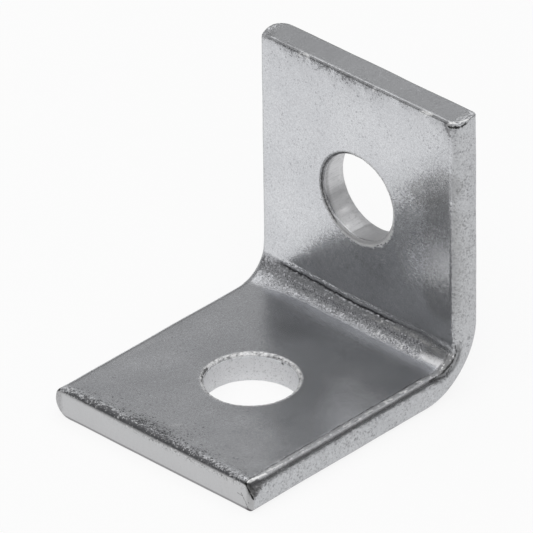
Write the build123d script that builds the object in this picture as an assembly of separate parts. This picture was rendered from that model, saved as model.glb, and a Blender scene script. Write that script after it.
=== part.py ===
from build123d import *
import math
import os

# The part is a two-hole right-angle bracket, sheared, punched and press-bent from one flat bar.
# X runs across the bar, +Y points to the upright's back and +Z up, in millimetres.
# The origin lies on the underside, in the middle of the bracket's footprint.

# Flat bar
bar_width = 40.0
bar_thickness = 5.0
side_crown = 0.25
inner_corner_radius = 1.5
left_outer_corner_radius = 2.5
right_outer_corner_radius = 1.0

# Where the bend thins the bar, the largest share of its side that an outer corner's round takes
# of what the inner corner's round leaves
corner_side_share = 0.95

# Legs, measured over the outer faces
foot_length = 48.7
upright_height = 46.4

# Press bend
bend_inner_radius = 4.0
bend_outer_radius = 11.0
bend_spread = 0.6
bend_draw_in = 0.3
bend_sections = 13

# Punched holes, each centred at the same distance from the free end of its leg.
# The fullness is the share of the entry's roll that its curve's end tangents span.
hole_radius = 7.0
hole_to_end = 20.7
hole_entry_roll = 1.0
hole_roll_fullness = 0.6
hole_breakout = 0.25
hole_breakout_length = 1.5
hole_exit_chamfer = 0.2

# Sheared ends
end_edge_round = 0.3
foot_end_roll_depth = 0.9
foot_end_roll_length = 1.4
upright_end_roll_depth = 0.45
upright_end_roll_length = 0.8

# Nick that the shear left in one inner corner of the foot
nick_across = 1.6
nick_along = 4.2
nick_down = 2.8

# How far a cutting tool reaches past the metal
tool_overrun = 2.0

back_face = foot_length / 2
front_end = -foot_length / 2
inner_face = back_face - bar_thickness
bend_centre_y = back_face - bend_outer_radius
bend_centre_z = bend_outer_radius


def bar_section(thickness, inner_width, outer_width):
    """Section of the bar: x runs across it and y from its outer face, at 0, to its inner face."""
    inner = inner_width / 2
    outer = outer_width / 2
    crown = (inner + outer) / 2 + side_crown
    outline = [
        Line((-outer, 0), (outer, 0)),
        ThreePointArc((outer, 0), (crown, thickness / 2), (inner, thickness)),
        Line((inner, thickness), (-inner, thickness)),
        ThreePointArc((-inner, thickness), (-crown, thickness / 2), (-outer, 0)),
    ]
    section = make_face(outline)
    section = fillet(section.vertices().group_by(Axis.Y)[-1], inner_corner_radius)
    left_corner, right_corner = section.vertices().group_by(Axis.Y)[0].sort_by(Axis.X)
    side_height = corner_side_share * (thickness - inner_corner_radius)
    section = fillet(left_corner, min(left_outer_corner_radius, side_height))
    return fillet(right_corner, min(right_outer_corner_radius, side_height))


def inner_face_distance(angle):
    """Distance from the centre of the bend's outer arc to the inner face, at an angle in radians."""
    clear = bend_outer_radius - bar_thickness
    offset = clear - bend_inner_radius
    flat_angle = math.atan2(offset, clear)
    if angle <= flat_angle:
        return clear / math.cos(angle)
    if angle >= math.pi / 2 - flat_angle:
        return clear / math.sin(angle)
    along = offset * (math.sin(angle) + math.cos(angle))
    return along + math.sqrt(along**2 - 2 * offset**2 + bend_inner_radius**2)


def section_plane(angle):
    """Plane of the section at an angle round the bend, from 0 at the foot."""
    inward = Vector(0, -math.sin(angle), math.cos(angle))
    centre = Vector(0, bend_centre_y, bend_centre_z)
    across = Vector(1, 0, 0)
    return Plane(origin=centre - inward * bend_outer_radius, x_dir=across, z_dir=across.cross(inward))


def bend_section(angle):
    """Section in the bend, thinned, with its inner edges squeezed out and its outer ones drawn in."""
    thickness = bend_outer_radius - inner_face_distance(angle)
    share = math.sin(2 * angle) ** 2
    face_width = bar_width - 2 * side_crown
    inner_width = face_width + 2 * bend_spread * share
    outer_width = face_width - 2 * bend_draw_in * share
    return section_plane(angle) * bar_section(thickness, inner_width, outer_width)


def bent_bar():
    """Foot, bend and upright in one solid, with the ends cut square."""
    turn = math.pi / 2
    sections = [bend_section(turn * step / (bend_sections - 1)) for step in range(bend_sections)]
    foot = extrude(sections[0], amount=bend_centre_y - front_end)
    upright = extrude(sections[-1], amount=bend_centre_z - upright_height)
    return foot + loft(sections) + upright


def roll_cutter(end, length, depth):
    """Tool for a rolled-over edge, on a plane whose x runs along the leg and y out of its inner face."""
    arc = TangentArc((length, 0), (0, -depth), tangent=(-1, 0))
    cap = Polyline(
        (length, 0),
        (length, tool_overrun),
        (-tool_overrun, tool_overrun),
        (-tool_overrun, -depth),
        (0, -depth),
    )
    return extrude(end * make_face([arc, cap]), amount=bar_width, both=True)


def sheared_ends(bar):
    """Breaks the edges of both ends, and rolls over the edge that the shear blade entered."""
    front_face = bar.faces().sort_by(Axis.Y)[0]
    top_face = bar.faces().sort_by(Axis.Z)[-1]
    bar = fillet(front_face.edges() + top_face.edges(), end_edge_round)
    foot_end = Plane(origin=(0, front_end, bar_thickness), x_dir=(0, 1, 0), z_dir=(1, 0, 0))
    upright_end = Plane(origin=(0, inner_face, upright_height), x_dir=(0, 0, -1), z_dir=(-1, 0, 0))
    bar -= roll_cutter(foot_end, foot_end_roll_length, foot_end_roll_depth)
    bar -= roll_cutter(upright_end, upright_end_roll_length, upright_end_roll_depth)
    return bar - nick_cutter()


def nick_cutter():
    """Tool for the nicked corner, a block whose flat side cuts the corner's three edges."""
    corner = Vector(bar_width / 2, front_end, bar_thickness)
    on_end = corner - Vector(nick_across, 0, 0)
    on_side = corner + Vector(0, nick_along, 0)
    below = corner - Vector(0, 0, nick_down)
    outward = (below - on_end).cross(on_side - on_end)
    cut = Plane(origin=(on_end + on_side + below) / 3, z_dir=outward)
    reach = 2 * (nick_across + nick_along + nick_down)
    return cut * Box(reach, reach, reach, align=(Align.CENTER, Align.CENTER, Align.MIN))


def punched_hole():
    """Tool for a hole along Z, with the outer face at 0 and the punch entering the inner face above."""
    below = -tool_overrun
    above = bar_thickness + tool_overrun
    breakout_edge = hole_radius + hole_breakout
    exit_edge = breakout_edge + hole_exit_chamfer
    breakout_top = hole_exit_chamfer + hole_breakout_length
    entry_edge = hole_radius + hole_entry_roll
    roll_start = bar_thickness - hole_entry_roll
    reach = hole_entry_roll * hole_roll_fullness
    outline = [
        Polyline(
            (0, above),
            (0, below),
            (exit_edge, below),
            (exit_edge, 0),
            (breakout_edge, hole_exit_chamfer),
            (hole_radius, breakout_top),
            (hole_radius, roll_start),
        ),
        Bezier(
            (hole_radius, roll_start),
            (hole_radius, roll_start + reach),
            (entry_edge - reach, bar_thickness),
            (entry_edge, bar_thickness),
        ),
        Polyline((entry_edge, bar_thickness), (entry_edge, above), (0, above)),
    ]
    return revolve(Plane.XZ * make_face(outline), Axis.Z)


def angle_bracket():
    """The finished bracket."""
    bar = sheared_ends(bent_bar())
    hole = punched_hole()
    bar -= Pos(0, front_end + hole_to_end, 0) * hole
    bar -= Pos(0, back_face, upright_height - hole_to_end) * Rot(90, 0, 0) * hole
    return bar


os.makedirs("parts", exist_ok=True)
bracket = angle_bracket()
bracket.label = "angle_bracket"
export_step(bracket, "parts/angle_bracket.step")
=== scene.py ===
import math

import bmesh
import bpy
import numpy as np
from mathutils import Matrix, Vector
from numpy.linalg import norm


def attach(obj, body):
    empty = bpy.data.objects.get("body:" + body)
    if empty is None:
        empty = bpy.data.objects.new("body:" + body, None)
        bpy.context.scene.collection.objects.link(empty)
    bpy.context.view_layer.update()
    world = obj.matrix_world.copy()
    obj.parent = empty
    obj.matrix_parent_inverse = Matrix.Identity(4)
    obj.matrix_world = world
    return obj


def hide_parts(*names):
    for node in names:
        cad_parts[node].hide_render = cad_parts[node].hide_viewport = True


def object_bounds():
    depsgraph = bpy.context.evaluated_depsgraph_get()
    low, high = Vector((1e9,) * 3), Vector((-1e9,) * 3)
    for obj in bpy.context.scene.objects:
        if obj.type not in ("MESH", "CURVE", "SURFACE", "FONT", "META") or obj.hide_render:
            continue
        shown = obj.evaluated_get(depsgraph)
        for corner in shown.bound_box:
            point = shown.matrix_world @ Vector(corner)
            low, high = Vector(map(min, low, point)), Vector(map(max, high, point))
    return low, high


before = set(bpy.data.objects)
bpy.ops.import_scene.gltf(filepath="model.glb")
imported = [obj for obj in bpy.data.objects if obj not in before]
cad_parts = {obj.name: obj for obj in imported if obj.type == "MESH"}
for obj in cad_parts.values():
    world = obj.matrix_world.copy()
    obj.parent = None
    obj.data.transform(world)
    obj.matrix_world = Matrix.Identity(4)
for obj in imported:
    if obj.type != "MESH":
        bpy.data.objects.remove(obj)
cad_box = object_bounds()

# The bracket's sizes in millimetres. They are those of its CAD source, except that the edges of the holes and
# of the sheared ends are a little tighter here, as close-ups of them show.
BAR_WIDTH = 40.0
BAR_THICKNESS = 5.0
SIDE_CROWN = 0.25
# Radii of the bar's long edges, at the inner face and at the outer face
LEFT_CORNERS = (1.5, 2.5)
RIGHT_CORNERS = (1.5, 1.0)
FOOT_LENGTH = 48.7
UPRIGHT_HEIGHT = 46.4
BEND_INNER = 4.0
BEND_OUTER = 11.0
BEND_SPREAD = 0.6
BEND_DRAW_IN = 0.3
HOLE_RADIUS = 7.0
HOLE_TO_END = 20.7
HOLE_ENTRY_ROLL = 0.5
HOLE_ROLL_FULLNESS = 0.5
HOLE_BREAKOUT = 0.4
HOLE_BREAKOUT_LENGTH = 1.5
HOLE_EXIT_CHAMFER = 0.08
END_ROUND = 0.3
# Edges that the shear's blade rolled over: how far along the leg, and how far down
FOOT_ROLL = (1.0, 0.7)
UPRIGHT_ROLL = (0.5, 0.3)
# The corner that is missing from the foot: how far across, along and down
NICK = (1.6, 4.2, 2.8)

FRONT_END = -FOOT_LENGTH / 2
BACK_FACE = FOOT_LENGTH / 2
INNER_FACE = BACK_FACE - BAR_THICKNESS
BEND_Y = BACK_FACE - BEND_OUTER
BEND_Z = BEND_OUTER
# The bend's two arcs aren't concentric, so the inner face runs on straight for an angle at both ends
BEND_CLEAR = BEND_OUTER - BAR_THICKNESS
BEND_OFFSET = BEND_CLEAR - BEND_INNER
FOOT_HOLE = FRONT_END + HOLE_TO_END
UPRIGHT_HOLE = UPRIGHT_HEIGHT - HOLE_TO_END
QUARTER_TURN = math.pi / 2
FLAT_ANGLE = math.atan2(BEND_OFFSET, BEND_CLEAR)
MILLIMETRE = 0.001

# How finely the skin is cut up: faces over the bar and down its side, and steps along it in millimetres
INNER_COLUMNS = 192
OUTER_COLUMNS = 64
INNER_CORNER_ROWS = 7
SIDE_ROWS = 7
OUTER_CORNER_ROWS = 6
CORNER_ROWS = INNER_CORNER_ROWS + SIDE_ROWS + OUTER_CORNER_ROWS
FINE_CAP_ROWS = CORNER_ROWS // 2 + 2
END_ROUND_STEPS = 4
END_ROLL_STEPS = 7
FLAT_STEP, STEP_BY_HOLE, STEP_BY_END = 0.46, 0.36, 0.3
END_ZONE = 2.0
BEND_START_STEPS = 8
BEND_ARC_STEPS = 47
# Half the width of the square round each hole that rings of faces fill, the share of the square's shape that
# each ring keeps, and how far their spokes are evened out
HOLE_BLOCK = 9.6
RING_SHARES = (0.74, 0.53, 0.36, 0.23, 0.13, 0.06)
RING_EVENING = 0.35
ROLL_RINGS = 8
WALL_RINGS = 6
BREAKOUT_RINGS = 3
# Room on the map between the bar and the caps of its ends
MAP_GAP = 2.0

ACROSS = np.array([1.0, 0.0, 0.0])
UP = np.array([0.0, 0.0, 1.0])
TO_BACK = np.array([0.0, 1.0, 0.0])


# Base form


def circle_through(a, b, c):
    """Centre and radius of the circle through three points."""
    squares = [p[0] ** 2 + p[1] ** 2 for p in (a, b, c)]
    ups = (b[1] - c[1], c[1] - a[1], a[1] - b[1])
    runs = (c[0] - b[0], a[0] - c[0], b[0] - a[0])
    turned = 2 * sum(p[0] * up for p, up in zip((a, b, c), ups))
    x, y = (sum(square * side for square, side in zip(squares, sides)) / turned for sides in (ups, runs))
    return x, y, math.hypot(a[0] - x, a[1] - y)


def on_circle(angles):
    return np.stack([np.cos(angles), np.sin(angles)], 1)


def bar_outline(thickness, inner, outer):
    """The bar's section as a loop of points and outward directions, from the inner face's left end.

    inner and outer are the half widths of the two faces. The outer face lies at height 0.
    """
    crown = (inner + outer) / 2 + SIDE_CROWN
    side_x, side_y, side_radius = circle_through((outer, 0), (crown, thickness / 2), (inner, thickness))

    def rounding(size, height):
        """A corner's middle, and the angle at which its rounding meets the side."""
        drop = height - side_y
        reach = math.sqrt((side_radius - size) ** 2 - drop**2)
        return np.array([side_x + reach, height]), math.atan2(drop, reach)

    def side(inner_corner, outer_corner):
        """A side as it is on the right, from the inner face down to where the outer face begins."""
        inner_middle, inner_angle = rounding(inner_corner, thickness - inner_corner)
        outer_middle, outer_angle = rounding(outer_corner, outer_corner)
        arcs = (
            (inner_middle, inner_corner, QUARTER_TURN, inner_angle, INNER_CORNER_ROWS),
            (np.array([side_x, side_y]), side_radius, inner_angle, outer_angle, SIDE_ROWS),
            (outer_middle, outer_corner, outer_angle, -QUARTER_TURN, OUTER_CORNER_ROWS),
        )
        points, ways = [], []
        for middle, size, start, finish, rows in arcs:
            ways.append(on_circle(np.linspace(start, finish, rows + 1)[1:]))
            points.append(middle + size * ways[-1])
        return inner_middle[0], outer_middle[0], np.concatenate(points), np.concatenate(ways)

    right_top, right_under, right, right_ways = side(*RIGHT_CORNERS)
    left_top, left_under, left, left_ways = side(*LEFT_CORNERS)
    mirror = np.array([-1.0, 1.0])
    top = np.linspace(-left_top, right_top, INNER_COLUMNS + 1)[:, None] * [1, 0] + [0, thickness]
    under = np.linspace(right_under, -left_under, OUTER_COLUMNS + 1)[1:, None] * [1, 0]
    outline = np.concatenate([top, right, under, (left * mirror)[-2::-1]])
    top_ways = np.tile([0.0, 1.0], (len(top), 1))
    under_ways = np.tile([0.0, -1.0], (len(under), 1))
    return outline, np.concatenate([top_ways, right_ways, under_ways, (left_ways * mirror)[-2::-1]])


def inner_distance(angle):
    """Distance from the centre of the bend's outer arc to the inner face."""
    if angle <= FLAT_ANGLE:
        return BEND_CLEAR / math.cos(angle)
    if angle >= QUARTER_TURN - FLAT_ANGLE:
        return BEND_CLEAR / math.sin(angle)
    along = BEND_OFFSET * (math.sin(angle) + math.cos(angle))
    return along + math.sqrt(along**2 - 2 * BEND_OFFSET**2 + BEND_INNER**2)


def roll_drop(distance, roll):
    """How far a rolled-over edge lies under the inner face, at a distance from the leg's end."""
    length, depth = roll
    if distance >= length:
        return 0.0
    radius = (length**2 + depth**2) / (2 * depth)
    return radius - math.sqrt(radius**2 - (length - distance) ** 2)


def end_steps(roll):
    """The sections at a sheared end: distance from the end, how far in each is drawn, and its edge's drop."""
    turns = np.linspace(QUARTER_TURN, 0, END_ROUND_STEPS + 1)
    steps = [(END_ROUND * (1 - math.sin(t)), END_ROUND * (1 - math.cos(t))) for t in turns]
    steps += [(d, 0.0) for d in np.linspace(END_ROUND, roll[0] + 0.1, END_ROLL_STEPS + 1)[1:]]
    return [(distance, inset, roll_drop(distance, roll)) for distance, inset in steps]


def leg_steps(start, finish, hole):
    """Places of the sections along a leg's flat, closer together beside the hole and at both ends."""
    places = [start]
    while places[-1] < finish:
        here = places[-1]
        by_hole = abs(here - hole) < HOLE_BLOCK
        by_end = min(here - start, finish - here) < END_ZONE
        places.append(here + (STEP_BY_END if by_end else STEP_BY_HOLE if by_hole else FLAT_STEP))
    scale = (finish - start) / (places[-1] - start)
    return [start + (place - start) * scale for place in places[1:-1]]


def bend_angles():
    """Angles of the bend's sections, from the end of the foot's flat to the start of the upright's."""
    stops = (0, FLAT_ANGLE, QUARTER_TURN - FLAT_ANGLE, QUARTER_TURN)
    steps = (BEND_START_STEPS, BEND_ARC_STEPS, BEND_START_STEPS)
    spans = [np.linspace(low, high, count + 1)[1:] for low, high, count in zip(stops, stops[1:], steps)]
    return np.concatenate([[0.0]] + spans)


def section_points(origin, inward, thickness=BAR_THICKNESS, share=0, inset=0, drop=0):
    """A section of the bar in the bracket's frame. share says how far the bend's squeeze has reached."""
    half = BAR_WIDTH / 2 - SIDE_CROWN
    outline, ways = bar_outline(thickness, half + BEND_SPREAD * share, half - BEND_DRAW_IN * share)
    outline = outline - ways * inset
    if drop:
        outline[:, 1] = np.minimum(outline[:, 1], thickness - drop)
    return origin + outline[:, :1] * ACROSS + outline[:, 1:] * inward


def bar_sections():
    """Points of all the sections, from the foot's end round the bend to the upright's."""
    rows = []
    for distance, inset, drop in end_steps(FOOT_ROLL):
        rows.append(section_points(TO_BACK * (FRONT_END + distance), UP, inset=inset, drop=drop))
    for y in leg_steps(rows[-1][0, 1], BEND_Y, FOOT_HOLE):
        rows.append(section_points(TO_BACK * y, UP))
    centre = TO_BACK * BEND_Y + UP * BEND_Z
    for angle in bend_angles():
        inward = UP * math.cos(angle) - TO_BACK * math.sin(angle)
        thickness = BEND_OUTER - inner_distance(angle)
        share = math.sin(2 * angle) ** 2
        rows.append(section_points(centre - inward * BEND_OUTER, inward, thickness, share))
    back, top = TO_BACK * BACK_FACE, end_steps(UPRIGHT_ROLL)[::-1]
    for z in leg_steps(BEND_Z, UPRIGHT_HEIGHT - top[0][0], UPRIGHT_HOLE):
        rows.append(section_points(back + UP * z, -TO_BACK))
    for distance, inset, drop in top:
        rows.append(section_points(back + UP * (UPRIGHT_HEIGHT - distance), -TO_BACK, inset=inset, drop=drop))
    return np.array(rows)


class Skin:
    """The bracket's surface as it is put together: points, and faces with their places on the map."""

    def __init__(self):
        self.batches = []
        self.count = 0
        self.faces = []
        self.places = []

    def points(self):
        return np.concatenate(self.batches)

    def add(self, points):
        """Adds an array of points and gives an array of their numbers."""
        flat = points.reshape(-1, 3)
        self.batches.append(flat)
        self.count += len(flat)
        return np.arange(self.count - len(flat), self.count).reshape(points.shape[:-1])

    def sheet(self, numbers, places, kept=True):
        """Faces over a grid of points, where they are kept."""
        kept = np.broadcast_to(kept, (numbers.shape[0] - 1, numbers.shape[1] - 1))
        corners = np.s_[:-1, :-1], np.s_[:-1, 1:], np.s_[1:, 1:], np.s_[1:, :-1]
        self.faces += np.stack([numbers[corner][kept] for corner in corners], 1).tolist()
        self.places += np.stack([places[corner][kept] for corner in corners], 1).reshape(-1, 2).tolist()

    def seam(self, *lines):
        """Triangles between two lines, each of them numbers, places on the map and positions along it."""
        at = [0, 0]
        while any(i < len(line[0]) - 1 for i, line in zip(at, lines)):
            ahead = [line[2][i + 1] if i < len(line[0]) - 1 else math.inf for i, line in zip(at, lines)]
            corners = [(lines[0], at[0]), (lines[1], at[1])]
            nearer = int(ahead[1] < ahead[0])
            at[nearer] += 1
            corners.insert(1, (lines[nearer], at[nearer]))
            self.faces.append([int(line[0][i]) for line, i in corners])
            self.places += [tuple(line[1][i]) for line, i in corners]


def block_edge(grid, block):
    """The edge of a block of a grid, as a closed loop that starts at its first row and column."""
    first_row, last_row, first_column, last_column = block
    sides = (
        grid[first_row, first_column:last_column],
        grid[first_row:last_row, last_column],
        grid[last_row, last_column:first_column:-1],
        grid[last_row:first_row:-1, first_column],
    )
    return np.concatenate([*sides, sides[0][:1]])


def entry_profile():
    """Radii and heights down the punched hole: its rolled entry, and its wall as far as the break-out."""
    edge = HOLE_RADIUS + HOLE_ENTRY_ROLL
    reach = HOLE_ENTRY_ROLL * HOLE_ROLL_FULLNESS
    start = BAR_THICKNESS - HOLE_ENTRY_ROLL
    radii = (edge, edge - reach, HOLE_RADIUS, HOLE_RADIUS)
    ends = np.stack([radii, (BAR_THICKNESS, BAR_THICKNESS, start + reach, start)], 1)
    t = np.linspace(0, 1, ROLL_RINGS + 1)[:, None]
    weights = np.concatenate([(1 - t) ** 3, 3 * t * (1 - t) ** 2, 3 * t**2 * (1 - t), t**3], 1)
    finish = HOLE_EXIT_CHAMFER + HOLE_BREAKOUT_LENGTH
    wall = np.linspace(start, finish, WALL_RINGS + 1)[1:, None]
    return np.concatenate([weights @ ends, np.concatenate([np.full_like(wall, HOLE_RADIUS), wall], 1)])


def exit_profile():
    """Radii and heights up from the outer face: the exit's chamfer and the torn break-out."""
    edge = HOLE_RADIUS + HOLE_BREAKOUT
    blunted, first_share = 0.02, 0.04
    chamfer = [(edge + HOLE_EXIT_CHAMFER, 0.0), (edge + blunted, HOLE_EXIT_CHAMFER - blunted)]
    shares = np.linspace(first_share, 1, BREAKOUT_RINGS + 1)[:-1]
    torn = [(edge - HOLE_BREAKOUT * t, HOLE_EXIT_CHAMFER + HOLE_BREAKOUT_LENGTH * t) for t in shares]
    return np.array(chamfer + torn)


def hole_mouth(skin, loop, places, hole, profile, side):
    """Rings from a block's edge to the hole on one face, and on down the hole. Gives the last ring."""
    centre, along, inward = hole
    flat = skin.points()[loop] - centre
    lie = np.stack([flat[:, 0], flat @ along], 1)
    angles = np.unwrap(np.arctan2(lie[:, 1], lie[:, 0]))
    angles += RING_EVENING * (np.linspace(angles[0], angles[-1], len(angles)) - angles)
    circle = on_circle(angles)
    middle = places[0] - lie[0] * [side, 1]
    edge, face_height = profile[0]
    rings = [(lie * t + circle * edge * (1 - t), face_height) for t in RING_SHARES]
    rings += [(circle * radius, height) for radius, height in profile]
    down = lengths_along(np.hypot(*np.diff(profile, axis=0).T))
    maps = [spots for spots, height in rings[: -len(profile)]]
    maps += [circle * (edge - reach) for reach in down]
    all_numbers, all_places = [loop], [places]
    for (spots, height), drawn in zip(rings, maps):
        solid = centre + spots[:, :1] * ACROSS + spots[:, 1:] * along + height * inward
        numbers = skin.add(solid[:-1])
        all_numbers.append(np.append(numbers, numbers[0]))
        all_places.append(middle + drawn * [side, 1])
    skin.sheet(np.array(all_numbers), np.array(all_places))
    return all_numbers[-1], all_places[-1], angles


def punched_hole(skin, grid, places, rows, columns, under_columns, hole):
    """Closes the skin round one hole, through both faces' blocks."""
    last = grid.shape[1] - 1
    block = (rows[0], rows[-1], columns[0], columns[-1])
    under_block = (rows[0], rows[-1], last - under_columns[-1], last - under_columns[0])

    def mouth(block, profile, side):
        """The hole in one face. On the outer one, which is seen from below, left and right change places."""
        loop, drawn = (block_edge(lattice[:, ::side], block) for lattice in (grid, places))
        return hole_mouth(skin, loop, drawn, hole, profile, side)

    entry = mouth(block, entry_profile(), 1)
    out = mouth(under_block, exit_profile(), -1)
    middle = (entry[1].min(0) + entry[1].max(0)) / 2
    reach = np.ptp(entry[1][:, 0]) / 2 - HOLE_BREAKOUT_LENGTH / BREAKOUT_RINGS
    skin.seam(entry, (out[0], middle + on_circle(out[2]) * reach, out[2]))


def cap(skin, loop, depth_way, gap, sign):
    """Closes a sheared end. The loop starts at the left end of the inner face."""
    points = skin.points()
    first_under = INNER_COLUMNS + CORNER_ROWS
    right = loop[INNER_COLUMNS : first_under + 1]
    left = loop[first_under + OUTER_COLUMNS :][::-1]
    heights = np.maximum(points[right] @ depth_way, points[left] @ depth_way)
    flat = int(np.nonzero(heights > heights[0] - 1e-6)[0][-1])
    lines = [np.concatenate([left[flat:0:-1], loop[: INNER_COLUMNS + 1], right[1 : flat + 1]])]
    for m in range(flat + 1, CORNER_ROWS):
        columns = INNER_COLUMNS if m < FINE_CAP_ROWS else OUTER_COLUMNS
        share = np.linspace(0, 1, columns + 1)[1:-1, None]
        between = skin.add(points[left[m]] + (points[right[m]] - points[left[m]]) * share)
        lines.append(np.concatenate([left[m : m + 1], between, right[m : m + 1]]))
    lines.append(loop[first_under : first_under + OUTER_COLUMNS + 1][::-1])
    points = skin.points()

    def ready(line):
        spots = points[line]
        down = BAR_THICKNESS - spots @ depth_way
        return line, np.stack([spots[:, 0] + BAR_WIDTH / 2, gap + sign * down], 1), spots[:, 0]

    for upper, lower in zip(lines, lines[1:]):
        skin.seam(ready(upper), ready(lower))


def lengths_along(steps):
    return np.concatenate([[0.0], np.cumsum(steps)])


def bracket_skin():
    """The bracket's plain surface in millimetres, with a map that has no stretched or shared places."""
    rows = bar_sections()
    skin = Skin()
    grid = skin.add(rows)
    # A section of the foot's flat
    plain = rows[len(rows) // 4]
    round_steps = norm(np.diff(plain, axis=0, append=plain[:1]), axis=1)
    middle = (rows[:, INNER_COLUMNS // 2] + rows[:, INNER_COLUMNS + CORNER_ROWS + OUTER_COLUMNS // 2]) / 2
    along_steps = norm(np.diff(middle, axis=0), axis=1)
    round_bar, along_bar = lengths_along(round_steps), lengths_along(along_steps)
    grid = np.concatenate([grid, grid[:, :1]], 1)
    places = np.stack(np.meshgrid(round_bar, along_bar), 2)

    def in_block(offsets):
        return np.nonzero(np.abs(offsets) < HOLE_BLOCK)[0]

    columns = in_block(plain[: INNER_COLUMNS + 1, 0])
    first_under = INNER_COLUMNS + CORNER_ROWS
    under = first_under + in_block(plain[first_under : first_under + OUTER_COLUMNS + 1, 0])
    on_foot = in_block(rows[:, 0, 1] - FOOT_HOLE)
    on_upright = in_block(rows[:, 0, 2] - UPRIGHT_HOLE)
    kept = np.ones((len(rows) - 1, grid.shape[1] - 1), bool)
    for span in (on_foot, on_upright):
        for block in (columns, under):
            kept[span[0] : span[-1], block[0] : block[-1]] = False
    skin.sheet(grid, places, kept)
    foot_hole = (TO_BACK * FOOT_HOLE, TO_BACK, UP)
    upright_hole = (TO_BACK * BACK_FACE + UP * UPRIGHT_HOLE, UP, -TO_BACK)
    punched_hole(skin, grid, places, on_foot, columns, under, foot_hole)
    punched_hole(skin, grid, places, on_upright, columns, under, upright_hole)
    cap(skin, grid[0], UP, -MAP_GAP, -1)
    cap(skin, grid[-1], -TO_BACK, along_bar[-1] + MAP_GAP, 1)
    return skin


# Marks that the mill, the shear, the punch and the press left, with masks where shade, shadow and highlights
# are painted. All their numbers are in millimetres, except shares of 1 and degrees. A line is a row of (place
# across the bar, value) pairs.
ARC_LENGTH = BEND_INNER * QUARTER_TURN
ARC_Y = INNER_FACE - BEND_INNER
ARC_Z = BAR_THICKNESS + BEND_INNER
# Where the crease runs round the bend, as a distance from the end of the foot's flat
CREASE_LINE = (
    (-20, 5.3), (-15.5, 5.15), (-10.6, 5.1), (-2.3, 4.7), (5.4, 4.75), (12.8, 5.0), (18.5, 4.4), (20, 4.2),
)
# How far the foot's flat goes on into the bend, under the press's nose, and how far round that dent ends
FLAT_TO = (
    (-20, 0), (-17, 0.1), (-14, 0.9), (-11, 1.35), (-7, 1.5), (-1.5, 1.35), (4.7, 1.2), (11, 1.15),
    (15.4, 0.8), (18, 0.3), (20, 0),
)
STEP_END = 3.6
# Where the ridge beside the foot's right edge, with its painted highlight, runs
EDGE_LINE = 18.95
# How black the scuffs beside the two sheared edges are
FOOT_SCUFF = ((-20, 0.3), (-17, 0.7), (-12, 1.0), (2, 1.0), (12, 0.8), (17, 0.5), (20, 0.2))
TOP_SCUFF = (
    (-20, 0.15), (-16, 0.6), (-12, 1.0), (-6, 1.0), (0, 0.9), (4, 0.6), (10, 0.55), (15, 0.6), (17, 0.5),
    (18, 1.1), (20, 1.0),
)
# Small burrs on the upright's upper edge, at places across the bar
BURRS = (-11.3, -9.8, 3.6, 13.1, 14.1, 18.4, 19.1)
# How far down the upright's inner face falls away towards its top, and how deep
TOP_FALL = (2.6, 0.13)
# How far the corners of the sheared ends and the foot's left edge were pushed
TOP_CORNER_DROP = 0.75
FOOT_EDGE_DROP = 0.05
FRONT_CORNER_PUSH = 0.23
# A distance that lies beyond every mark
FAR_OFF = 9.0


def rise(low, high, value):
    """0 up to low, then rising smoothly to 1 at high."""
    share = np.clip((value - low) / (high - low), 0, 1)
    return share * share * (3 - 2 * share)


def fall(low, high, value):
    """1 up to low, then falling smoothly to 0 at high."""
    return 1 - rise(low, high, value)


def hump(middle, width, value):
    """1 at the middle, falling to nothing within about twice a width."""
    return np.exp(-(((value - middle) / width) ** 2))


def along_line(line, across):
    places, values = np.array(line, float).T
    return np.interp(across, places, values)


# The nick: the corner it took off, the direction of its left edge, and the way out of its flat side
NICKED_CORNER = np.array([BAR_WIDTH / 2, FRONT_END, BAR_THICKNESS])
NICK_EDGE = np.array([NICK[0], 0, -NICK[2]])
NICK_EDGE /= norm(NICK_EDGE)
NICK_OUT = np.cross(NICK_EDGE, [NICK[0], NICK[1], 0])
NICK_OUT /= norm(NICK_OUT)


def past_nick(points):
    """How far points lie outside the nick's flat side (below 0 inside it), and how far from its left edge."""
    from_edge = points - (NICKED_CORNER - ACROSS * NICK[0])
    beyond = from_edge @ NICK_OUT
    beyond[norm(points - NICKED_CORNER, axis=1) > 2 * NICK[1]] = -FAR_OFF
    return beyond, from_edge @ np.cross(NICK_OUT, NICK_EDGE)


def nicked(points):
    """Draws the points outside the nick's flat side back onto it."""
    return points - np.maximum(past_nick(points)[0], 0)[:, None] * NICK_OUT


def drooped(points):
    """Pulls down the upright's top left corner and the foot's left edge, and pushes the foot's corner out."""
    x, y, z = points.T
    from_left, behind = x + BAR_WIDTH / 2, np.maximum(y - INNER_FACE, 0)
    near_top = fall(0, 3.5, UPRIGHT_HEIGHT - z) * (z > ARC_Z)
    near_front = fall(0, 5, y - FRONT_END)
    near_edge = np.clip((-x - 16) / 3, 0, 1) ** 2
    bent = points.copy()
    bent[:, 2] -= TOP_CORNER_DROP * near_top * hump(0, 1.5, from_left) * hump(0, 1.8, behind)
    bent[:, 2] -= np.where((y < ARC_Y) & (z > 4), FOOT_EDGE_DROP * near_edge, 0)
    bent[:, 0] -= FRONT_CORNER_PUSH * near_front * fall(0, 3, from_left) * hump(2.6, 2.0, z)
    return bent


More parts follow.
